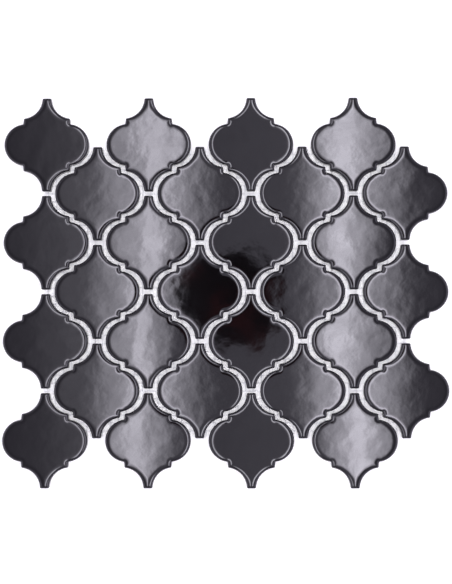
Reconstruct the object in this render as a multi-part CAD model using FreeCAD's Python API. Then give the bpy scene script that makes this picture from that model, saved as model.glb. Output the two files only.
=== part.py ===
import FreeCAD, Part
import math
import os

# A sheet of glazed lantern tiles, the shape also called arabesque, held together by a fibreglass mesh.
# All sizes are in millimetres. The sheet lies flat with its glazed faces up: X runs across its columns,
# Y along the tiles' tips, and Z = 0 is the underside of the mesh, which beds in the adhesive.

# One tile, seen from above
tile_width = 53.6
tile_height = 59.4
tip_width = 5.7
waist_width = 29.55
step_rise = 14.95
step_length = 3.7
step_lean = 5.5

# Its section
tile_thickness = 6.0
edge_roll = 1.5

# Flat sides that stand for each round stretch, few because the tile repeats many times
lobe_sides = 12
throat_sides = 7
roll_sides = 2

# The sheet
joint = 2.8
column_count = 8
long_column_tiles = 4

# The mesh behind the tiles
thread_pitch = 5.0
thread_width = 0.8
thread_thickness = 0.25
mesh_setback = 1.0

Vector = FreeCAD.Vector

# Spacing that keeps the joint between the tips in one column and between the steps of two columns
row_pitch = tile_height + joint
column_pitch = waist_width + joint

# The weft threads lie on the warp threads, and the tiles stand on the weft
weft_level = thread_thickness
tile_level = 2 * thread_thickness

# The upper right quarter of the outline: a lobe at the side, a throat up to the tip, and between them a short
# step that leans towards the tile's middle line. The step's lower end is the lobe's corner, its upper end the
# throat's.
half_width = tile_width / 2
half_height = tile_height / 2
half_tip = tip_width / 2
lean = math.radians(step_lean)
half_step = Vector(-math.sin(lean), math.cos(lean), 0) * (step_length / 2)
step_middle = Vector(waist_width / 2, step_rise, 0)
lobe_corner = step_middle - half_step
throat_corner = step_middle + half_step
tip_corner = Vector(half_tip, half_height, 0)
widest = Vector(half_width, 0, 0)

# The throat's arc leaves the tip's corner along the tile's length, so its centre is level with that corner
throat_reach = throat_corner.x - half_tip
throat_drop = half_height - throat_corner.y
throat_radius = (throat_reach**2 + throat_drop**2) / (2 * throat_reach)
throat_centre = Vector(half_tip + throat_radius, half_height, 0)
throat_turn = math.atan2(throat_drop, throat_centre.x - throat_corner.x) / 2
throat_middle = throat_centre - Vector(math.cos(throat_turn), math.sin(throat_turn), 0) * throat_radius


def outline_edges():
    """A tile's outline, anticlockwise: each arc or line, with the number of flat sides that stand for it."""

    def left(point):
        return Vector(-point.x, point.y, 0)

    # From the foot of the right lobe over the upper tip. The other half is this one turned half round.
    stretches = [
        ([left(lobe_corner) * -1, widest, lobe_corner], lobe_sides),
        ([lobe_corner, throat_corner], 1),
        ([throat_corner, throat_middle, tip_corner], throat_sides),
        ([tip_corner, left(tip_corner)], 1),
        ([left(tip_corner), left(throat_middle), left(throat_corner)], throat_sides),
        ([left(throat_corner), left(lobe_corner)], 1),
    ]
    edges = []
    for half_turn in (1, -1):
        for points, sides in stretches:
            points = [point * half_turn for point in points]
            curve = Part.Arc(*points) if len(points) == 3 else Part.LineSegment(*points)
            edges.append((curve.toShape(), sides))
    return edges


def outline_ring():
    """The outline as a closed ring of points, one at each corner of its flat sides."""
    ring = []
    for edge, sides in outline_edges():
        ring += edge.discretize(sides + 1)[:-1]
    return ring


def inset(ring, distance):
    """An anticlockwise ring moved inwards, where each side keeps its direction and the corners stay mitred."""
    moved = []
    for number, point in enumerate(ring):
        side_before = (point - ring[number - 1]).normalize()
        side_after = (ring[(number + 1) % len(ring)] - point).normalize()
        inwards = Vector(0, 0, 1).cross(side_before + side_after)
        moved.append(point + inwards * (distance / (1 + side_before.dot(side_after))))
    return moved


def at_level(ring, level):
    """The same ring at another height."""
    return [Vector(point.x, point.y, level) for point in ring]


def flat_face(*corners):
    """A flat face with these corners."""
    return Part.Face(Part.makePolygon([*corners, corners[0]]))


def make_tile():
    """A tile about its own centre: upright walls, whose top edge rolls over on a quarter circle to a flat face."""
    ring = outline_ring()
    roll_level = tile_thickness - edge_roll
    sections = [ring]
    for side in range(roll_sides + 1):
        angle = math.pi / 2 * side / roll_sides
        rolled = inset(ring, edge_roll * (1 - math.cos(angle)))
        sections.append(at_level(rolled, roll_level + edge_roll * math.sin(angle)))

    faces = [flat_face(*sections[0]), flat_face(*sections[-1])]
    for lower, upper in zip(sections, sections[1:]):
        for number in range(len(ring)):
            faces.append(flat_face(lower[number - 1], lower[number], upper[number], upper[number - 1]))
    return Part.Solid(Part.Shell(faces))


def tile_places():
    """Each tile's name and centre. The first column is a long one, and every second one has a tile less."""
    places = []
    for column in range(column_count):
        tile_count = long_column_tiles - column % 2
        x = (column - (column_count - 1) / 2) * column_pitch
        for row in range(tile_count):
            y = ((tile_count - 1) / 2 - row) * row_pitch
            places.append((f"tile_column_{column + 1}_row_{row + 1}", Vector(x, y, 0)))
    return places


def mesh_area():
    """The face that the mesh covers: the tiles and the joints between them, less a setback all round."""
    outline = Part.Face(Part.Wire([edge for edge, _ in outline_edges()]))
    grown = outline.makeOffset2D(joint)
    plots = []
    for _, centre in tile_places():
        plot = grown.copy()
        plot.translate(centre)
        plots.append(plot)
    merged = plots[0].fuse(plots[1:]).removeSplitter()
    return Part.Face(merged.Faces[0].OuterWire).makeOffset2D(-(joint + mesh_setback))


def make_threads(area, across, level):
    """Straight flat threads, side by side in the direction across, with square ends at the edge of an area."""
    along = Vector(0, 0, 1).cross(across)
    reach = area.BoundBox.DiagonalLength
    half_count = math.ceil(reach / 2 / thread_pitch)
    threads = []
    for number in range(-half_count, half_count):
        middle = across * ((number + 0.5) * thread_pitch)
        line = Part.LineSegment(middle - along * reach, middle + along * reach).toShape()
        for span in line.common(area).Edges:
            # A stretch shorter than the pitch crosses no other thread, so nothing would hold it
            if span.Length < thread_pitch:
                continue
            start = min(vertex.Point.dot(along) for vertex in span.Vertexes)
            corner = middle - across * (thread_width / 2) + along * start + Vector(0, 0, level)
            width, length = across * thread_width, along * span.Length
            foot = flat_face(corner, corner + width, corner + width + length, corner + length)
            threads.append(foot.extrude(Vector(0, 0, thread_thickness)))
    return Part.Compound(threads)


os.makedirs("parts", exist_ok=True)

tile = make_tile()
for name, centre in tile_places():
    placed = tile.copy()
    placed.translate(centre + Vector(0, 0, tile_level))
    placed.exportStep(f"parts/{name}.step")

area = mesh_area()
make_threads(area, Vector(1, 0, 0), 0).exportStep("parts/mesh_warp_threads.step")
make_threads(area, Vector(0, 1, 0), weft_level).exportStep("parts/mesh_weft_threads.step")
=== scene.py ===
# Looks of a sheet of glazed lantern tiles on its backing mesh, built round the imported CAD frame.
import logging
import math
from dataclasses import dataclass, field
from enum import Enum

import bpy
import numpy as np
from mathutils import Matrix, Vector


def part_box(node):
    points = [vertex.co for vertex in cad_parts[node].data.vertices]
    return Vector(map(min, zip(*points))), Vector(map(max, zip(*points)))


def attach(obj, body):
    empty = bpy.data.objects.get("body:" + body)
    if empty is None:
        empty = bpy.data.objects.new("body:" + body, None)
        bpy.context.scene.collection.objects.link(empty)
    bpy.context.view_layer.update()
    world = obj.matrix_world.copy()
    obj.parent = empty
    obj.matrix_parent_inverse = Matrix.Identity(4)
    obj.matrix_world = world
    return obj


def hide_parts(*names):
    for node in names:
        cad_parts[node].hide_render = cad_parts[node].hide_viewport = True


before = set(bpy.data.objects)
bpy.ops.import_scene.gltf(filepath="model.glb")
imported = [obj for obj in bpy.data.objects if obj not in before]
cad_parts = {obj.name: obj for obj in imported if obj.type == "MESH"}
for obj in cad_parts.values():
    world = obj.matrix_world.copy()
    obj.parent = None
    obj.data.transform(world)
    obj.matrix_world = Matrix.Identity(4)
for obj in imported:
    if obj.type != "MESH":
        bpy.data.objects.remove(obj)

log = logging.getLogger("lantern_tile_sheet")

MM = 0.001
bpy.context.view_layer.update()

Colour = tuple[float, float, float, float]
WHITE: Colour = (1.0, 1.0, 1.0, 1.0)

# The range of a random phase, about one turn
PHASES = (0.0, 6.28)

# How each tile is bedded, by column and row: how much its face rises to the right, in mm per metre, and how
# much that grows for each mm to the right
BEDDING = (
    ((4, 0.4), (-6, 0.2), (-2, 0.0), (6, 0.2)),
    ((-6, 0.2), (-6, -0.1), (-5, -0.2)),
    ((2, 0.6), (-2, 0.2), (-11, -0.3), (-13, 0.1)),
    ((14, 0.4), (-6, 0.1), (9, 0.3)),
    ((-4, 0.1), (0, 0.0), (1, 0.0), (3, 0.0)),
    ((-2, -0.1), (4, 0.3), (-2, 0.0)),
    ((-4, 0.2), (-10, -0.2), (-9, 0.2), (7, -0.1)),
    ((7, 0.4), (5, 0.4), (7, 0.1)),
)


class Slot(Enum):
    """The record's material slots."""

    GLAZE = "glaze"
    MESH = "backing_mesh"


class Weave(Enum):
    """The two sets of threads, with the axis that each runs along."""

    WARP = 1
    WEFT = 0


def make_object(
    name: str, points: np.ndarray, quads: np.ndarray, material: bpy.types.Material
) -> bpy.types.Object:
    """Puts a finished surface into the scene with smooth shading.

    Args:
        name: The piece's name.
        points: Its points in metres, one row each.
        quads: Its faces, four point numbers a row. A row that names a point twice is a triangle.
        material: Its finish.

    Returns:
        The new object, at the origin.
    """
    quads = np.asarray(quads, np.int64)
    same = quads == np.roll(quads, -1, axis=1)
    corner_count = 4 - same.sum(axis=1)
    starts = np.concatenate(([0], np.cumsum(corner_count)[:-1]))
    corners = quads[~same]
    mesh = bpy.data.meshes.new(name)
    mesh.vertices.add(len(points))
    mesh.vertices.foreach_set("co", np.asarray(points, np.float32).ravel())
    mesh.loops.add(len(corners))
    mesh.loops.foreach_set("vertex_index", corners.astype(np.int32))
    mesh.polygons.add(len(quads))
    mesh.polygons.foreach_set("loop_start", starts.astype(np.int32))
    mesh.polygons.foreach_set("loop_total", corner_count.astype(np.int32))
    mesh.polygons.foreach_set("use_smooth", np.ones(len(quads), bool))
    mesh.update(calc_edges=True)
    mesh.validate()
    mesh.materials.append(material)
    piece = bpy.data.objects.new(name, mesh)
    bpy.context.scene.collection.objects.link(piece)
    return piece


def grid_quads(rows: int, columns: int) -> np.ndarray:
    """Faces between neighbouring rows of a grid whose rows are closed rings of points.

    Args:
        rows: How many rings there are.
        columns: How many points each ring has.

    Returns:
        Four point numbers for each face.
    """
    number = np.arange(rows * columns).reshape(rows, columns)
    onward = np.roll(number, -1, axis=1)
    return np.stack([number[:-1], onward[:-1], onward[1:], number[1:]], axis=-1).reshape(-1, 4)


def fan_triangles(ring_start: int, columns: int, tip: int) -> np.ndarray:
    """Triangles that close a ring of points with one more point at its middle.

    Args:
        ring_start: The number of the ring's first point.
        columns: How many points the ring has.
        tip: The number of the middle point.

    Returns:
        Four point numbers for each triangle, the last one given twice.
    """
    number = ring_start + np.arange(columns)
    middle = np.full(columns, tip)
    return np.stack([number, np.roll(number, -1), middle, middle], axis=-1)


@dataclass(frozen=True)
class Mottle:
    """A soft noise: how many blotches it has to the metre, its finer layers, and how strong these are."""

    scale: float
    detail: float = 2.0
    roughness: float = 0.5


class Nodes:
    """A short way to write one material's shader nodes."""

    def __init__(self, material: bpy.types.Material | bpy.types.World) -> None:
        """Empties the node tree of a material or a world."""
        material.use_nodes = True
        self.tree = material.node_tree
        self.tree.nodes.clear()

    def add(self, kind: str, **settings: object) -> bpy.types.Node:
        """Adds a node.

        Args:
            kind: The node's type without its ShaderNode prefix.
            settings: Properties of the node.

        Returns:
            The new node.
        """
        node = self.tree.nodes.new("ShaderNode" + kind)
        for key, value in settings.items():
            setattr(node, key, value)
        return node

    def join(self, source: object, target: bpy.types.NodeSocket) -> None:
        """Feeds a socket with another one's output, or sets it to a plain value."""
        if isinstance(source, bpy.types.NodeSocket):
            self.tree.links.new(source, target)
        else:
            target.default_value = source

    def math(self, operation: str, *values: object, clamp: bool = False) -> bpy.types.NodeSocket:
        """A sum, product or other plain function of one to three values."""
        node = self.add("Math", operation=operation, use_clamp=clamp)
        for value, socket in zip(values, node.inputs):
            self.join(value, socket)
        return node.outputs[0]

    def ramp(
        self, value: object, low: float, high: float, to_low: float = 0.0, to_high: float = 1.0
    ) -> bpy.types.NodeSocket:
        """A smooth step from to_low to to_high while value goes from low to high."""
        node = self.add("MapRange", interpolation_type="SMOOTHSTEP")
        for source, socket in zip((value, low, high, to_low, to_high), node.inputs):
            self.join(source, socket)
        return node.outputs[0]

    def noise(self, where: object, mottle: Mottle) -> bpy.types.NodeSocket:
        """Soft noise from 0 to 1."""
        node = self.add("TexNoise")
        self.join(where, node.inputs["Vector"])
        node.inputs["Scale"].default_value = mottle.scale
        node.inputs["Detail"].default_value = mottle.detail
        node.inputs["Roughness"].default_value = mottle.roughness
        return node.outputs["Fac"]

    def mix(self, share: object, first: object, second: object) -> bpy.types.NodeSocket:
        """A colour between two others."""
        node = self.add("Mix", data_type="RGBA")
        self.join(share, node.inputs["Factor"])
        self.join(first, node.inputs["A"])
        self.join(second, node.inputs["B"])
        return node.outputs["Result"]

    def bump(self, height: object, distance: float, normal: object = None) -> bpy.types.NodeSocket:
        """A normal bent by a height that runs from 0 to 1 and stands for distance metres."""
        node = self.add("Bump")
        node.inputs["Strength"].default_value = 1.0
        node.inputs["Distance"].default_value = distance
        self.join(height, node.inputs["Height"])
        if normal is not None:
            self.join(normal, node.inputs["Normal"])
        return node.outputs["Normal"]

    def show(self, shader: bpy.types.Node, kind: str = "Material") -> None:
        """Makes a shader the result of the whole tree, of a Material or a World."""
        self.join(shader.outputs[0], self.add("Output" + kind).inputs["Surface"])


@dataclass(frozen=True)
class GlazedPorcelain:
    """Charcoal black gloss glaze over white porcelain, bare at the foot of the walls and on the back."""

    glaze: Colour = (0.0021, 0.0017, 0.0022, 1.0)
    glaze_pool: Colour = (0.0014, 0.0011, 0.0014, 1.0)
    glaze_mottle: Mottle = Mottle(160.0, 3.0)
    glaze_roughness: float = 0.055
    refraction: float = 1.55
    shine: Colour = (0.975, 0.955, 1.0, 1.0)
    orange_peel: float = 0.033 * MM
    peel_mottle: Mottle = Mottle(1.0 / (6.0 * MM), 2.0, 0.4)
    bare_height: float = 1.1 * MM
    edge_ragged: float = 1.0 * MM
    edge_mottle: Mottle = Mottle(900.0, 3.0, 0.65)
    edge_blur: float = 0.06 * MM
    body: Colour = (0.70, 0.68, 0.64, 1.0)
    body_speck: Colour = (0.42, 0.39, 0.35, 1.0)
    speck_mottle: Mottle = Mottle(2600.0, 2.0, 0.6)
    speck_levels: tuple[float, float] = (0.60, 0.72)
    body_roughness: float = 0.62
    body_grain: float = 0.05 * MM
    grain_mottle: Mottle = Mottle(3200.0, 3.0, 0.7)
    rib_pitch: float = 6.0 * MM
    rib_depth: float = 0.4 * MM
    rib_flanks: tuple[float, float] = (-0.75, -0.35)
    rib_fade: tuple[float, float] = (0.12 * MM, 0.05 * MM)

    def make(self, back_level: float) -> bpy.types.Material:
        """Builds the finish.

        Args:
            back_level: The height of the tiles' backs.

        Returns:
            The material.
        """
        material = bpy.data.materials.new("glazed_porcelain")
        nodes = Nodes(material)
        place = nodes.add("TexCoord").outputs["Object"]
        split = nodes.add("SeparateXYZ")
        nodes.join(place, split.inputs[0])
        level = split.outputs["Z"]

        # The glaze ends where the height passes a line that wanders with the place along the wall
        lowest = back_level + self.bare_height - self.edge_ragged / 2
        line = nodes.math("MULTIPLY_ADD", nodes.noise(place, self.edge_mottle), self.edge_ragged, lowest)
        glazed = nodes.ramp(nodes.math("SUBTRACT", level, line), -self.edge_blur, self.edge_blur)

        tone = nodes.mix(nodes.noise(place, self.glaze_mottle), self.glaze_pool, self.glaze)
        specks = nodes.ramp(nodes.noise(place, self.speck_mottle), *self.speck_levels)
        bare = nodes.mix(specks, self.body, self.body_speck)
        colour = nodes.mix(glazed, bare, tone)
        roughness = nodes.ramp(glazed, 0.0, 1.0, self.body_roughness, self.glaze_roughness)

        # Orange peel in the glaze, grain and pressed ribs on the bare body
        peel = nodes.bump(nodes.noise(place, self.peel_mottle), self.orange_peel)
        grain = nodes.bump(nodes.noise(place, self.grain_mottle), self.body_grain)
        ribs = nodes.math("MULTIPLY", *(self.rib_wave(nodes, split.outputs[axis]) for axis in "XY"))
        behind = nodes.ramp(level, *(back_level + height for height in self.rib_fade))
        grain = nodes.bump(nodes.math("MULTIPLY", ribs, behind), self.rib_depth, grain)
        bend = nodes.add("Mix", data_type="VECTOR")
        nodes.join(glazed, bend.inputs["Factor"])
        nodes.join(grain, bend.inputs[4])
        nodes.join(peel, bend.inputs[5])

        shader = nodes.add("BsdfPrincipled")
        nodes.join(colour, shader.inputs["Base Color"])
        nodes.join(roughness, shader.inputs["Roughness"])
        nodes.join(bend.outputs[1], shader.inputs["Normal"])
        shader.inputs["IOR"].default_value = self.refraction
        shader.inputs["Specular Tint"].default_value = self.shine
        nodes.show(shader)
        return material

    def rib_wave(self, nodes: Nodes, place: bpy.types.NodeSocket) -> bpy.types.NodeSocket:
        """Steps from 0 to 1 and back along one axis, once to each rib."""
        turn = nodes.math("MULTIPLY", place, 2 * math.pi / self.rib_pitch)
        return nodes.ramp(nodes.math("SINE", turn), *self.rib_flanks)


@dataclass(frozen=True)
class SetGlue:
    """Dried white glue, a little see-through."""

    colour: Colour = (0.83, 0.82, 0.78, 1.0)
    roughness: float = 0.3
    opacity: float = 0.75
    grain: float = 0.08 * MM
    grain_mottle: Mottle = Mottle(900.0)

    def make(self) -> bpy.types.Material:
        """Builds the finish."""
        material = bpy.data.materials.new("set_glue")
        nodes = Nodes(material)
        place = nodes.add("TexCoord").outputs["Object"]
        shader = nodes.add("BsdfPrincipled")
        shader.inputs["Base Color"].default_value = self.colour
        shader.inputs["Roughness"].default_value = self.roughness
        shader.inputs["Alpha"].default_value = self.opacity
        nodes.join(nodes.bump(nodes.noise(place, self.grain_mottle), self.grain), shader.inputs["Normal"])
        nodes.show(shader)
        return material


@dataclass(frozen=True)
class FibreglassThread:
    """White glass fibre in a clear coat, drawn in fine strands."""

    fibre: Colour = (0.96, 0.965, 0.96, 1.0)
    roughness: float = 0.42
    strand_shade: float = 0.94
    strand_mottle: Mottle = Mottle(1.0 / (0.12 * MM), 2.0, 0.6)
    strand_stretch: float = 25.0
    strand_depth: float = 0.01 * MM

    def make(self, name: str, weave: Weave) -> bpy.types.Material:
        """Builds the finish of one set of threads, with the fine strands along them.

        Args:
            name: The material's name.
            weave: The set of threads.

        Returns:
            The material.
        """
        material = bpy.data.materials.new(name)
        nodes = Nodes(material)
        place = nodes.add("TexCoord").outputs["Object"]
        scales = [1.0, 1.0, 1.0]
        scales[weave.value] = 1 / self.strand_stretch
        stretch = nodes.add("Mapping")
        nodes.join(place, stretch.inputs["Vector"])
        stretch.inputs["Scale"].default_value = scales
        strands = nodes.noise(stretch.outputs[0], self.strand_mottle)
        shaded = (*(self.strand_shade * channel for channel in self.fibre[:3]), 1.0)
        shader = nodes.add("BsdfPrincipled")
        nodes.join(nodes.mix(strands, shaded, self.fibre), shader.inputs["Base Color"])
        nodes.join(nodes.bump(strands, self.strand_depth), shader.inputs["Normal"])
        shader.inputs["Roughness"].default_value = self.roughness
        nodes.show(shader)
        return material


@dataclass
class LanternPlan:
    """A lantern tile's plan: a lobe each side, a tip each end, and a short step from lobe to throat."""

    half_width: float
    half_height: float
    tip_width: float = 5.7 * MM
    waist_width: float = 29.55 * MM
    step_rise: float = 14.95 * MM
    step_length: float = 3.7 * MM
    step_lean: float = math.radians(5.5)
    foot_round: float = 0.8 * MM
    shoulder_round: float = 0.7 * MM
    tip_round: float = 0.8 * MM
    least_round: float = 0.1 * MM
    arc_sides: int = 17
    corner_sides: int = 6
    tip_sides: int = 4

    def quarter(self, inset: float, finer: int = 1) -> np.ndarray:
        """The upper right quarter of the outline, moved inwards.

        Each stretch is an arc or a straight line that touches the next one. The lobe's radius shrinks by
        the inset and the throat's grows by it. A hollow corner's radius grows with the inset, and a full
        corner's shrinks.

        Args:
            inset: How far inside the tile's edge the line runs.
            finer: How many times as many points an arc gets.

        Returns:
            Points from the widest place of the lobe to the middle of the tip, one row each.
        """
        up = np.array([-math.sin(self.step_lean), math.cos(self.step_lean)])
        inward = np.array([-up[1], up[0]])
        middle = np.array([self.waist_width / 2, self.step_rise])
        foot, shoulder = middle - up * self.step_length / 2, middle + up * self.step_length / 2
        half_tip = self.tip_width / 2

        reach = self.half_width - foot[0]
        lobe_radius = (reach**2 + foot[1] ** 2) / (2 * reach)
        lobe = np.array([self.half_width - lobe_radius, 0.0])
        reach, drop = shoulder[0] - half_tip, self.half_height - shoulder[1]
        throat_radius = (reach**2 + drop**2) / (2 * reach)
        throat = np.array([half_tip + throat_radius, self.half_height])

        def on_step(centre: np.ndarray, radius: float, depth: float, side: float) -> np.ndarray:
            """The point at depth inside the step line that is radius away from a centre."""
            start = middle + inward * depth
            nearest = start + up * np.dot(centre - start, up)
            return nearest + up * side * math.sqrt(radius**2 - np.sum((centre - nearest) ** 2))

        def arc(
            centre: np.ndarray, radius: float, start: np.ndarray, end: np.ndarray, sides: int
        ) -> np.ndarray:
            """Points round a centre, the shorter way from one direction to another, less the last one."""
            first, last = (math.atan2(direction[1], direction[0]) for direction in (start, end))
            turn = (last - first + math.pi) % (2 * math.pi) - math.pi
            angles = first + turn * np.arange(sides * finer) / (sides * finer)
            return centre + radius * np.stack([np.cos(angles), np.sin(angles)], axis=-1)

        foot_centre = on_step(lobe, lobe_radius + self.foot_round, -self.foot_round, 1)
        corner = max(self.shoulder_round - inset, self.least_round)
        shoulder_centre = on_step(throat, throat_radius + inset + corner, inset + corner, -1)
        tip_corner = max(self.tip_round - inset, self.least_round)
        tip_drop = inset + tip_corner
        tip_across = math.sqrt((throat_radius + tip_drop) ** 2 - tip_drop**2)
        tip_centre = np.array([throat[0] - tip_across, self.half_height - tip_drop])
        step_foot = foot_centre + inward * (self.foot_round + inset)
        step_top = shoulder_centre - inward * corner
        tip_end = tip_centre + [0.0, tip_corner]
        middle_of_tip = np.array([0.0, self.half_height - inset])

        return np.concatenate([
            arc(lobe, lobe_radius - inset, np.array([1.0, 0.0]), foot_centre - lobe, self.arc_sides),
            arc(foot_centre, self.foot_round + inset, lobe - foot_centre, inward, self.corner_sides),
            step_foot + np.array([[0.0], [1 / 3], [2 / 3]]) * (step_top - step_foot),
            arc(shoulder_centre, corner, -inward, throat - shoulder_centre, self.corner_sides),
            arc(
                throat, throat_radius + inset, shoulder_centre - throat, tip_centre - throat, self.arc_sides
            ),
            arc(tip_centre, tip_corner, throat - tip_centre, np.array([0.0, 1.0]), self.tip_sides),
            tip_end + np.array([[0.0], [1 / 2], [1.0]]) * (middle_of_tip - tip_end),
        ])

    def ring(self, inset: float, finer: int = 1) -> np.ndarray:
        """The whole outline moved inwards, anticlockwise: the quarter and its mirror images end to end."""
        quarter = self.quarter(inset, finer)
        half = np.concatenate([quarter, quarter[-2::-1] * [-1, 1]])
        return np.concatenate([half, -half[1:-1]])


@dataclass
class EdgeProfile:
    """The glazed face's height over a tile's section, by the distance from its edge."""

    roll_radius: float = 1.48 * MM
    roll_width: float = 1.2 * MM
    cushion_width: float = 3.9 * MM
    end_cushion_width: float = 2.6 * MM
    foot_radius: float = 0.3 * MM

    @property
    def roll_slope(self) -> float:
        """The slope at which the cushion meets the roll: the roll is an arc from here to upright."""
        return math.asin(1 - self.roll_width / self.roll_radius)

    def roll_insets(self, count: int) -> np.ndarray:
        """Distances from the edge at even slopes round the roll, starting at the wall."""
        slopes = np.linspace(math.pi / 2, self.roll_slope, count)
        return self.roll_radius * (1 - np.sin(slopes))

    def cushion(self, inside: np.ndarray, width: np.ndarray | float) -> np.ndarray:
        """How far a cushion lies below the tile's top.

        Its slope grows as the square of the way out from its inner end, and its drop as the cube.

        Args:
            inside: The distance from the edge.
            width: How far inside the edge the cushion starts.

        Returns:
            The drop in metres.
        """
        way_out = np.clip(width - np.maximum(inside, self.roll_width), 0, None)
        return self.roll_slope * way_out**3 / (3 * (width - self.roll_width) ** 2)

    def drop(
        self, edge: np.ndarray, side: np.ndarray, widening: np.ndarray, end: np.ndarray
    ) -> np.ndarray:
        """How far the face lies below the tile's top.

        It is the sum of the sides' cushion, the ends' cushion and the roll. The roll is a quarter of a
        circle, less the part that a cushion replaces.

        Args:
            edge: The distance from the edge.
            side: The distance from the nearer side, with the ridge between the sides rounded off.
            widening: How much wider than usual the sides' cushion is.
            end: The distance from the nearer tip's end.

        Returns:
            The drop in metres.
        """
        cushion = self.cushion(side, self.cushion_width + widening)
        cushion = cushion + self.cushion(end, self.end_cushion_width)
        least = self.roll_radius * math.sin(self.roll_slope)
        across = np.clip(self.roll_radius - edge, least, self.roll_radius)
        roll = self.roll_radius * math.cos(self.roll_slope) - np.sqrt(self.roll_radius**2 - across**2)
        return cushion + roll


@dataclass
class LanternTiles:
    """The glazed tiles, one piece for each CAD tile and in its place."""

    finish: bpy.types.Material
    nodes: list[str]
    profile: EdgeProfile = field(default_factory=EdgeProfile)
    inner_ring: float = 2.5 * MM
    ring_step: float = 0.16 * MM
    roll_rings: int = 9
    inner_rings: int = 20
    inner_growth: float = 1.6
    side_finer: int = 4
    blend_radius: float = 0.45 * MM
    neck_widths: tuple[float, float] = (7.5 * MM, 11.5 * MM)
    neck_cushion: float = 0.7 * MM
    wall_rows: int = 4
    foot_rows: int = 4
    back_rings: int = 5
    tilt: float = math.radians(0.25)
    waves: int = 9
    wave_lengths: tuple[float, float] = (7 * MM, 24 * MM)
    wave_slope: float = 0.0011
    seed: int = 28

    def plan_rings(self, plan: LanternPlan) -> tuple[np.ndarray, np.ndarray]:
        """The glazed face's rings, from its edge to near its centre, and their distances from the edge.

        Near the edge each ring keeps one distance from it. Further in, the last of these rings is scaled
        towards the centre, and its points' distances are measured from the nearer side.

        Args:
            plan: The tile's plan.

        Returns:
            The rings' points, by ring and place, and each point's distance from the edge.
        """
        roll = self.profile.roll_insets(self.roll_rings)
        shelf = np.arange(roll[-1] + self.ring_step, self.inner_ring, self.ring_step)
        insets = np.concatenate([roll, shelf, [self.inner_ring]])
        rings = np.stack([plan.ring(inset) for inset in insets])
        scale = 1 - np.linspace(0, 1, self.inner_rings + 1)[1:-1] ** self.inner_growth
        inner = rings[-1][None] * scale[:, None, None]
        points = np.concatenate([rings, inner])
        right, left = self.sides(plan)
        inner_edge = np.minimum(self.distance(inner, right), self.distance(inner, left))
        edge = np.concatenate([np.repeat(insets[:, None], rings.shape[1], axis=1), inner_edge])
        return points, edge

    def sides(self, plan: LanternPlan) -> tuple[np.ndarray, np.ndarray]:
        """The right and the left side of a tile's outline, each a fine line of points from tip to tip."""
        outline = plan.ring(0.0, self.side_finer)
        quarter = len(outline) // 4
        right = np.roll(outline, quarter, axis=0)[: 2 * quarter + 1]
        right = right[np.abs(right[:, 1]) < plan.half_height - plan.tip_round]
        return right, right * [-1, 1]

    def distance(self, points: np.ndarray, line: np.ndarray) -> np.ndarray:
        """Each point's distance to the nearest stretch of a line of points."""
        start, stretch = line[:-1], np.diff(line, axis=0)
        gaps = []
        for place in points.reshape(-1, 2):
            share = np.clip(np.sum((place - start) * stretch, -1) / np.sum(stretch**2, -1), 0, 1)
            gaps.append(np.linalg.norm(place - start - share[:, None] * stretch, axis=-1).min())
        return np.array(gaps).reshape(points.shape[:-1])

    def soften(self, points: np.ndarray, plan: LanternPlan) -> tuple[np.ndarray, np.ndarray]:
        """Rounds off the ridge between the two sides, and widens their cushion in the narrow necks.

        The distances a and b to the two sides give a smooth minimum, -ln(exp(-a / r) + exp(-b / r)) r.
        Their sum is the tile's local width, and the widening is a smooth step from the wider to the
        narrower of two widths.

        Args:
            points: The face's rings in plan.
            plan: The tile's plan.

        Returns:
            The distance from the nearer side, a little less where both are near, and the widening.
        """
        right, left = (self.distance(points, side) for side in self.sides(plan))
        nearness = np.exp(-right / self.blend_radius) + np.exp(-left / self.blend_radius)
        blend = -self.blend_radius * np.log(nearness)
        slim, wide = self.neck_widths
        share = np.clip((wide - right - left) / (wide - slim), 0, 1)
        return blend, self.neck_cushion * share**2 * (3 - 2 * share)

    def make(self) -> list[bpy.types.Object]:
        """Builds every tile.

        Returns:
            The new pieces.
        """
        rng = np.random.default_rng(self.seed)
        low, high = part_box(self.nodes[0])
        plan = LanternPlan((high.x - low.x) / 2, (high.y - low.y) / 2)
        face, edge = self.plan_rings(plan)
        end = plan.half_height - np.abs(face[..., 1])
        drop = self.profile.drop(edge, *self.soften(face, plan), end)
        return [self.make_tile(name, face, drop, rng) for name in self.nodes]

    def unevenness(
        self, face: np.ndarray, bedding: tuple[float, float], rng: np.random.Generator
    ) -> np.ndarray:
        """How far a tile's face stands off the level plane.

        It is the sum of the tile's tilt, a bend across it, and slow sine waves of even slope in many
        directions.

        Args:
            face: The face's points in plan.
            bedding: How much the tile rises to the right, and how that grows.
            rng: The source of the waves.

        Returns:
            The height of each point.
        """
        x, y = face[..., 0], face[..., 1]
        rise, growth = bedding
        tilt = rise * MM * x + growth * x**2 / 2 + rng.normal(0, self.tilt) * y
        heading = rng.uniform(0, math.pi, self.waves)
        length = rng.uniform(*self.wave_lengths, self.waves)
        phase = rng.uniform(0, 2 * math.pi, self.waves)
        number = 2 * math.pi / length
        along = x[..., None] * np.cos(heading) + y[..., None] * np.sin(heading)
        waves = self.wave_slope / number * np.sin(along * number + phase)
        return tilt + waves.sum(axis=-1)

    def make_tile(
        self, name: str, face: np.ndarray, drop: np.ndarray, rng: np.random.Generator
    ) -> bpy.types.Object:
        """Builds one tile: its face's rings, its wall and its back, closed at the middle of both.

        Args:
            name: The CAD tile that it stands for.
            face: The face's rings in plan.
            drop: How far each of their points lies below the top.
            rng: The source of its unevenness.

        Returns:
            The new piece.
        """
        low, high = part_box(name)
        centre = np.array([(low.x + high.x) / 2, (low.y + high.y) / 2])
        column, row = (int(part) - 1 for part in name.split("_")[2::2])
        uneven = self.unevenness(face, BEDDING[column][row], rng)
        heights = uneven - drop
        heights += high.z - heights.max()

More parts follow.
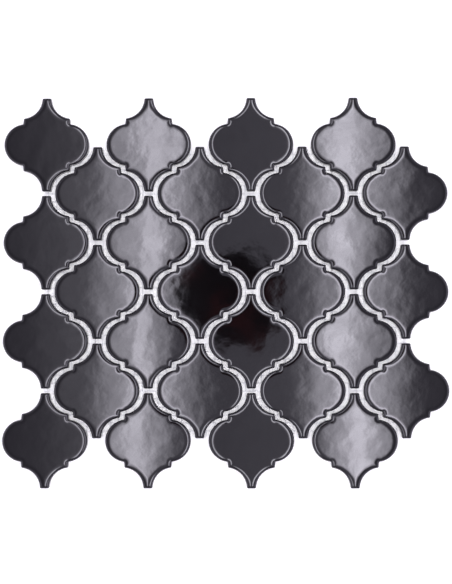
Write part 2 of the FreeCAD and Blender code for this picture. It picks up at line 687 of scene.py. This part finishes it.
        ring = face[0]
        foot = self.profile.foot_radius
        turn = np.linspace(0, math.pi / 2, self.foot_rows)
        share = np.linspace(1, 0, self.wall_rows + 2)[1:-1, None]
        wall = low.z + foot + (heights[0] - low.z - foot) * share
        back_inset = foot * (1 - np.cos(turn))
        back_level = low.z + foot * (1 - np.sin(turn))
        shrink = 1 - back_inset[:, None, None] / np.linalg.norm(ring, axis=1)[None, :, None]
        back = ring[None] * shrink
        inner_back = back[-1][None] * np.linspace(1, 0, self.back_rings + 1)[1:-1, None, None]

        plan_rows = [face[::-1], np.repeat(ring[None], self.wall_rows, axis=0), back, inner_back]
        level_rows = [
            heights[::-1],
            wall,
            np.repeat(back_level[:, None], ring.shape[0], axis=1),
            np.full(inner_back.shape[:2], low.z),
        ]
        plan_points = np.concatenate(plan_rows)
        levels = np.concatenate(level_rows)
        rows, columns = levels.shape
        points = np.concatenate([plan_points + centre, levels[..., None]], axis=-1).reshape(-1, 3)
        top = [*centre, heights[-1].mean()]
        bottom = [*centre, low.z]
        points = np.concatenate([points, [top, bottom]])
        quads = np.concatenate([
            grid_quads(rows, columns)[:, ::-1],
            fan_triangles(0, columns, rows * columns),
            fan_triangles((rows - 1) * columns, columns, rows * columns + 1)[:, [1, 0, 2, 3]],
        ])
        piece = make_object("glazed_" + name, points, quads, self.finish)
        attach(piece, "root")
        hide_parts(name)
        return piece


@dataclass
class BackingMesh:
    """The woven fibreglass net: two sets of flat threads that pass over and under each other."""

    finish: FibreglassThread
    thread_width: float = 0.7 * MM
    pitch: float = 5.0 * MM
    steps_per_pitch: int = 4
    least_steps: int = 4
    sides: int = 6
    # How far a thread's middle rises and falls, and half its section's height, as shares of its thickness
    rise: float = 0.48
    half_height: float = 0.49
    wander: float = 0.12 * MM
    wander_length: float = 37 * MM
    sharp_angle: float = math.radians(50)
    seed: int = 56

    def spans(self, node: str, weave: Weave) -> np.ndarray:
        """Each thread's place across the net, its start and its end, from the CAD threads' corners.

        Args:
            node: The CAD node that holds the threads.
            weave: The set of threads.

        Returns:
            One row for each thread.
        """
        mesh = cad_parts[node].data
        corners = np.zeros(len(mesh.vertices) * 3, np.float32)
        mesh.vertices.foreach_get("co", corners)
        corners = np.round(corners.reshape(-1, 3).astype(float), 6)
        along, across = corners[:, weave.value], corners[:, 1 - weave.value]
        middle = np.round(across / (self.pitch / 2)) * (self.pitch / 2)
        rows = []
        for place in np.unique(middle):
            ends = np.unique(along[middle == place])
            rows += [(place, *pair) for pair in ends.reshape(-1, 2)]
        return np.array(rows)

    def make_threads(
        self, name: str, node: str, weave: Weave, rng: np.random.Generator
    ) -> bpy.types.Object:
        """Builds one set of threads.

        A thread's section is a flat ellipse. Its height along it is a cosine with one half wave to each
        crossing, and its neighbours start half a wave off. It wanders a little sideways.

        Args:
            name: The piece's name.
            node: The CAD node that it stands for.
            weave: The set of threads.
            rng: The source of the wandering.

        Returns:
            The new piece.
        """
        low, high = (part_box("mesh_warp_threads")[0].z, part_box("mesh_weft_threads")[1].z)
        thickness = (high - low) / 2
        turns = np.linspace(0, 2 * math.pi, self.sides, endpoint=False)
        points, quads, count = [], [], 0
        for place, start, end in self.spans(node, weave):
            steps = max(self.least_steps, round((end - start) / self.pitch * self.steps_per_pitch))
            along = np.linspace(start, end, steps + 1)
            number = round(place / self.pitch - 0.5)
            wave = math.pi * (along / self.pitch - 0.5) + math.pi * number
            sign = 1 if weave is Weave.WARP else -1
            height = (low + high) / 2 + sign * np.cos(wave) * thickness * self.rise
            sideways = self.wander * np.sin(along / self.wander_length + rng.uniform(*PHASES)) + place
            across = sideways[:, None] + self.thread_width / 2 * np.cos(turns)
            level = height[:, None] + thickness * self.half_height * np.sin(turns)
            ring = np.stack([across, np.repeat(along[:, None], self.sides, axis=1), level], axis=-1)
            if weave is Weave.WEFT:
                ring = ring[..., [1, 0, 2]]
            rows = len(along)
            faces = grid_quads(rows, self.sides)
            caps = [
                fan_triangles(0, self.sides, rows * self.sides)[:, [1, 0, 2, 3]],
                fan_triangles((rows - 1) * self.sides, self.sides, rows * self.sides + 1),
            ]
            block = np.concatenate([faces, *caps])
            if weave is Weave.WARP:
                block = block[:, ::-1]
            tips = [ring[0].mean(0)[None], ring[-1].mean(0)[None]]
            points.append(np.concatenate([ring.reshape(-1, 3), *tips]))
            quads.append(block + count)
            count += len(points[-1])
        finish = self.finish.make(name, weave)
        piece = make_object(name, np.concatenate(points), np.concatenate(quads), finish)
        piece.data.set_sharp_from_angle(angle=self.sharp_angle)
        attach(piece, "root")
        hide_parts(node)
        return piece

    def make(self) -> list[bpy.types.Object]:
        """Builds both sets of threads."""
        rng = np.random.default_rng(self.seed)
        return [
            self.make_threads("woven_warp_threads", "mesh_warp_threads", Weave.WARP, rng),
            self.make_threads("woven_weft_threads", "mesh_weft_threads", Weave.WEFT, rng),
        ]


@dataclass
class GlueDabs:
    """The dabs of glue that hold each tile's back to the net, one piece for the whole sheet."""

    finish: bpy.types.Material
    tiles: list[str]
    places: tuple[tuple[float, float], ...] = (
        (-14 * MM, 1 * MM),
        (0.0, 0.0),
        (14 * MM, -1 * MM),
        (1 * MM, 15 * MM),
        (-1 * MM, -15 * MM),
    )
    radius: float = 3.6 * MM
    radius_spread: float = 0.5 * MM
    outline_waves: tuple[int, ...] = (2, 3, 5)
    outline_spread: float = 0.07
    # How deep a dab is, as a share of the gap under the tile
    fill: float = 0.85
    wander: float = 1.2 * MM
    columns: int = 28
    rings: int = 6
    seed: int = 84

    def make(self) -> bpy.types.Object:
        """Builds every dab as a flat dome that hangs from the tile's back.

        Its outline is a circle plus three sine waves round it. Its depth goes as one less the square of
        the way out.

        Returns:
            The new piece.
        """
        rng = np.random.default_rng(self.seed)
        turn = np.linspace(0, 2 * math.pi, self.columns, endpoint=False)
        way_out = np.linspace(1, 0, self.rings + 1)[:-1]
        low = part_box("mesh_warp_threads")[0].z
        points, quads, count = [], [], 0
        for name in self.tiles:
            corner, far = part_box(name)
            centre = np.array([(corner.x + far.x) / 2, (corner.y + far.y) / 2])
            for place in self.places:
                radius = rng.normal(self.radius, self.radius_spread)
                uneven = sum(
                    rng.normal(0, self.outline_spread) * np.sin(waves * turn + rng.uniform(*PHASES))
                    for waves in self.outline_waves
                )
                outline = (radius * (1 + uneven))[:, None] * np.stack([np.cos(turn), np.sin(turn)], axis=-1)
                middle = centre + place + rng.normal(0, self.wander, 2)
                depth = (corner.z - low) * self.fill
                level = corner.z - depth * (1 - way_out**2)
                plan = middle + way_out[:, None, None] * outline
                heights = np.broadcast_to(level[:, None, None], (*plan.shape[:2], 1))
                rings = np.concatenate([plan, heights], axis=-1)
                tip = [*middle, corner.z - depth]
                points.append(np.concatenate([rings.reshape(-1, 3), [tip]]))
                last = (self.rings - 1) * self.columns
                cap = fan_triangles(last, self.columns, last + self.columns)
                dome = np.concatenate([grid_quads(self.rings, self.columns), cap])
                quads.append(dome[:, ::-1] + count)
                count += len(points[-1])
        piece = make_object("glue_dabs", np.concatenate(points), np.concatenate(quads), self.finish)
        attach(piece, "root")
        return piece


@dataclass(frozen=True)
class Glow:
    """One stripe of light on the soft panel, along Y, fading sideways as exp(-abs(x / reach)^power)."""

    place: float
    reach: float
    strength: float
    power: float = 2.0


@dataclass
class Studio:
    """A pale table and a soft panel with two bright stripes, in a dim plain room, and the camera above."""

    camera_place: tuple[float, float, float] = (6.79 * MM, -36.12 * MM, 750 * MM)
    camera_turn: tuple[float, float, float] = tuple(math.radians(a) for a in (2.7604, 0.4973, -0.0397))
    lens: float = 73.1
    glows: tuple[Glow, ...] = (
        Glow(-107.6 * MM, 51.4 * MM, 4.1, 4.0),
        Glow(-99.3 * MM, 15 * MM, 5.2),
        Glow(-185 * MM, 55 * MM, 0.75),
        Glow(152.3 * MM, 54.1 * MM, 4.7, 4.0),
        Glow(151 * MM, 19 * MM, 6.0),
        Glow(76 * MM, 127 * MM, 0.35),
    )
    panel_place: tuple[float, float, float] = (0.0, 36 * MM, 760 * MM)
    panel_size: tuple[float, float] = (0.8, 0.84)
    cloth_mottle: Mottle = Mottle(1.0 / (20 * MM), 4.0, 0.8)
    cloth_contrast: float = 1.9
    light_tint: Colour = (1.01, 1.0, 1.07, 1.0)
    shade_place: tuple[float, float, float] = (7 * MM, 30 * MM, 755 * MM)
    shade_radius: float = 60 * MM
    shade_ragged: float = 45 * MM
    shade_edge_mottle: Mottle = Mottle(14.0)
    shade_soft: float = 6 * MM
    shade_colour: Colour = (0.03, 0.025, 0.025, 1.0)
    shade_patches: Colour = (0.20, 0.06, 0.06, 1.0)
    patch_mottle: Mottle = Mottle(22.0)
    patch_levels: tuple[float, float] = (0.44, 0.62)
    room: float = 0.335
    room_tint: Colour = (1.04, 1.0, 1.2, 1.0)
    ceiling: float = 0.24
    ceiling_spread: float = 0.2
    least_height: float = 0.05
    sides: float = 1.25
    side_levels: tuple[float, float] = (0.82, 0.925)
    side_shift: float = 0.03
    horizon_share: float = 0.4
    horizon_levels: tuple[float, float] = (0.15, 0.6)
    windows: float = 0.9
    window_levels: tuple[float, float] = (0.5, 0.65)
    pane_mottle: Mottle = Mottle(4.5, 0.0)
    pane_levels: tuple[float, float] = (0.50, 0.60)
    table: Colour = (0.865, 0.86, 0.845, 1.0)
    table_glow: float = 0.275
    backdrop_glow: float = 0.9
    backdrop_reach: tuple[float, float] = (0.25, 0.9)
    table_size: float = 8.0
    table_gap: float = 0.05 * MM

    def make_camera(self) -> None:
        """Puts the camera where the photograph was taken from, nearly straight above the sheet."""
        camera = bpy.data.cameras.new("camera")
        camera.lens = self.lens
        holder = bpy.data.objects.new("camera", camera)
        holder.location = Vector(self.camera_place)
        holder.rotation_euler = self.camera_turn
        bpy.context.scene.collection.objects.link(holder)
        bpy.context.scene.camera = holder

    def make_table(self) -> None:
        """Lays the pale floor just under the sheet. It looks lighter than it is lit, as a backdrop does."""
        half = self.table_size / 2
        corners = np.array([[-half, -half], [half, -half], [half, half], [-half, half]])
        points = np.concatenate([corners, np.full((4, 1), -self.table_gap)], axis=1)
        material = bpy.data.materials.new("pale_table")
        nodes = Nodes(material)
        path = nodes.add("LightPath")
        seen = nodes.math("ADD", path.outputs["Is Camera Ray"], path.outputs["Is Glossy Ray"])
        seen = nodes.math("ADD", seen, path.outputs["Is Transmission Ray"], clamp=True)
        shader = nodes.add("BsdfDiffuse")
        shader.inputs["Color"].default_value = self.table
        away = nodes.add("VectorMath", operation="LENGTH")
        nodes.join(nodes.add("TexCoord").outputs["Object"], away.inputs[0])
        glows = (self.table_glow, self.backdrop_glow)
        backdrop = nodes.ramp(away.outputs["Value"], *self.backdrop_reach, *glows)
        glow = nodes.add("Emission")
        nodes.join(nodes.math("MULTIPLY", seen, backdrop), glow.inputs["Strength"])
        both = nodes.add("AddShader")
        nodes.join(shader.outputs[0], both.inputs[0])
        nodes.join(glow.outputs[0], both.inputs[1])
        nodes.show(both)
        make_object("pale_table", points, np.array([[0, 1, 2, 3]]), material)

    def hang(
        self,
        name: str,
        size: tuple[float, float],
        place: tuple[float, float, float],
        material: bpy.types.Material,
    ) -> None:
        """Hangs a level sheet, face down, that neither the camera nor the shadows show.

        Args:
            name: Its name.
            size: Its width and length.
            place: Its middle.
            material: Its finish.
        """
        corners = np.array([[-1, -1], [-1, 1], [1, 1], [1, -1]]) * np.array(size) / 2 + place[:2]
        points = np.insert(corners, 2, place[2], axis=1)
        sheet = make_object(name, points, np.array([[0, 1, 2, 3]]), material)
        sheet.visible_camera = False
        sheet.visible_shadow = False

    def make_panel(self) -> None:
        """Hangs the soft panel. Its glows add up, its cloth mottles them, and the room shows through it."""
        material = bpy.data.materials.new("soft_panel")
        nodes = Nodes(material)
        split = nodes.add("SeparateXYZ")
        place = nodes.add("TexCoord").outputs["Object"]
        nodes.join(place, split.inputs[0])
        level = 0.0
        for glow in self.glows:
            away = nodes.math("DIVIDE", nodes.math("SUBTRACT", split.outputs["X"], glow.place), glow.reach)
            fall = nodes.math("POWER", nodes.math("ABSOLUTE", away), glow.power)
            fade = nodes.math("EXPONENT", nodes.math("MULTIPLY", fall, -1.0))
            level = nodes.math("MULTIPLY_ADD", fade, glow.strength, level)
        cloth = nodes.noise(place, self.cloth_mottle)
        cloth = nodes.math("MULTIPLY_ADD", cloth, self.cloth_contrast, 1 - self.cloth_contrast / 2)
        level = nodes.math("MULTIPLY", level, cloth)
        front = nodes.math("SUBTRACT", 1.0, nodes.add("NewGeometry").outputs["Backfacing"])
        light = nodes.add("Emission")
        light.inputs["Color"].default_value = self.light_tint
        nodes.join(nodes.math("MULTIPLY", level, front), light.inputs["Strength"])
        both = nodes.add("AddShader")
        nodes.join(light.outputs[0], both.inputs[0])
        nodes.join(nodes.add("BsdfTransparent").outputs[0], both.inputs[1])
        nodes.show(both)
        self.hang("soft_panel", self.panel_size, self.panel_place, material)

    def make_shade(self) -> None:
        """Hangs the dark body of what holds the camera, with an uneven edge. It shows only in the glaze."""
        material = bpy.data.materials.new("camera_shade")
        nodes = Nodes(material)
        place = nodes.add("TexCoord").outputs["Object"]
        offset = nodes.add("VectorMath", operation="SUBTRACT")
        nodes.join(place, offset.inputs[0])
        offset.inputs[1].default_value = self.shade_place
        length = nodes.add("VectorMath", operation="LENGTH")
        nodes.join(offset.outputs[0], length.inputs[0])
        uneven = nodes.math("SUBTRACT", nodes.noise(place, self.shade_edge_mottle), 0.5)
        reach = nodes.math("MULTIPLY_ADD", uneven, self.shade_ragged * 2, length.outputs["Value"])
        clear = nodes.ramp(reach, self.shade_radius - self.shade_soft, self.shade_radius + self.shade_soft)
        glow = nodes.add("Emission")
        tone = nodes.ramp(nodes.noise(place, self.patch_mottle), *self.patch_levels)
        nodes.join(nodes.mix(tone, self.shade_colour, self.shade_patches), glow.inputs["Color"])
        both = nodes.add("MixShader")
        nodes.join(clear, both.inputs[0])
        nodes.join(glow.outputs[0], both.inputs[1])
        nodes.join(nodes.add("BsdfTransparent").outputs[0], both.inputs[2])
        nodes.show(both)
        size = 2 * (self.shade_radius + self.shade_ragged)
        self.hang("camera_shade", (size, size), self.shade_place, material)

    def make_room(self) -> None:
        """Lights the room: dim all round, brighter above and at the sides, with windows low down."""
        world = bpy.data.worlds.new("room")
        bpy.context.scene.world = world
        nodes = Nodes(world)
        split = nodes.add("SeparateXYZ")
        place = nodes.add("TexCoord").outputs["Generated"]
        nodes.join(place, split.inputs[0])
        right, ahead, up = (split.outputs[axis] for axis in "XYZ")
        lean = nodes.math("DIVIDE", right, nodes.math("MAXIMUM", up, self.least_height))
        lean = nodes.math("DIVIDE", lean, self.ceiling_spread)
        above = nodes.math("EXPONENT", nodes.math("MULTIPLY", nodes.math("MULTIPLY", lean, lean), -1.0))

        # The room's sides are bright left and right, not before and behind, and reach higher on the right
        level_up = nodes.math("MULTIPLY_ADD", right, -self.side_shift, up)
        low = nodes.ramp(level_up, *self.side_levels, self.sides, 0.0)
        across = nodes.math("MULTIPLY", right, right)
        along = nodes.math("MULTIPLY", ahead, ahead)
        low = nodes.math("MULTIPLY", low, nodes.math("DIVIDE", across, nodes.math("ADD", across, along)))
        horizon = nodes.ramp(up, *self.horizon_levels, self.horizon_share, 1.0)
        low = nodes.math("MULTIPLY", low, horizon)
        level = nodes.math("MULTIPLY_ADD", above, self.ceiling, self.room)
        level = nodes.math("ADD", level, low)

        # The windows are patches of light that only the tiles' rolled edges and slanting views show
        panes = nodes.ramp(nodes.noise(place, self.pane_mottle), *self.pane_levels)
        near_horizon = nodes.ramp(up, *self.window_levels, self.windows, 0.0)
        level = nodes.math("MULTIPLY_ADD", panes, near_horizon, level)

        # The camera itself sees plain white all round
        seen = nodes.add("LightPath").outputs["Is Camera Ray"]
        shown = nodes.add("Mix", data_type="FLOAT")
        nodes.join(seen, shown.inputs[0])
        nodes.join(level, shown.inputs[2])
        nodes.join(1.0, shown.inputs[3])
        background = nodes.add("Background")
        nodes.join(nodes.mix(seen, self.room_tint, WHITE), background.inputs["Color"])
        nodes.join(shown.outputs[0], background.inputs["Strength"])
        nodes.show(background, "World")

    def make(self) -> None:
        """Sets the whole stage."""
        self.make_camera()
        self.make_table()
        self.make_panel()
        self.make_shade()
        self.make_room()
        bpy.context.scene.view_settings.view_transform = "Standard"


def main() -> None:
    """Builds the sheet's pieces in order, then the stage."""
    logging.basicConfig(level=logging.INFO, format="%(name)s: %(message)s")
    names = sorted(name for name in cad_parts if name.startswith("tile_"))
    low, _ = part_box(names[0])
    porcelain = GlazedPorcelain().make(back_level=low.z)
    pieces = LanternTiles(porcelain, names).make() + BackingMesh(FibreglassThread()).make()
    pieces.append(GlueDabs(SetGlue().make(), names).make())
    for piece in pieces:
        log.info("%s: %d points", piece.name, len(piece.data.vertices))
    Studio().make()


if __name__ == "__main__":
    main()
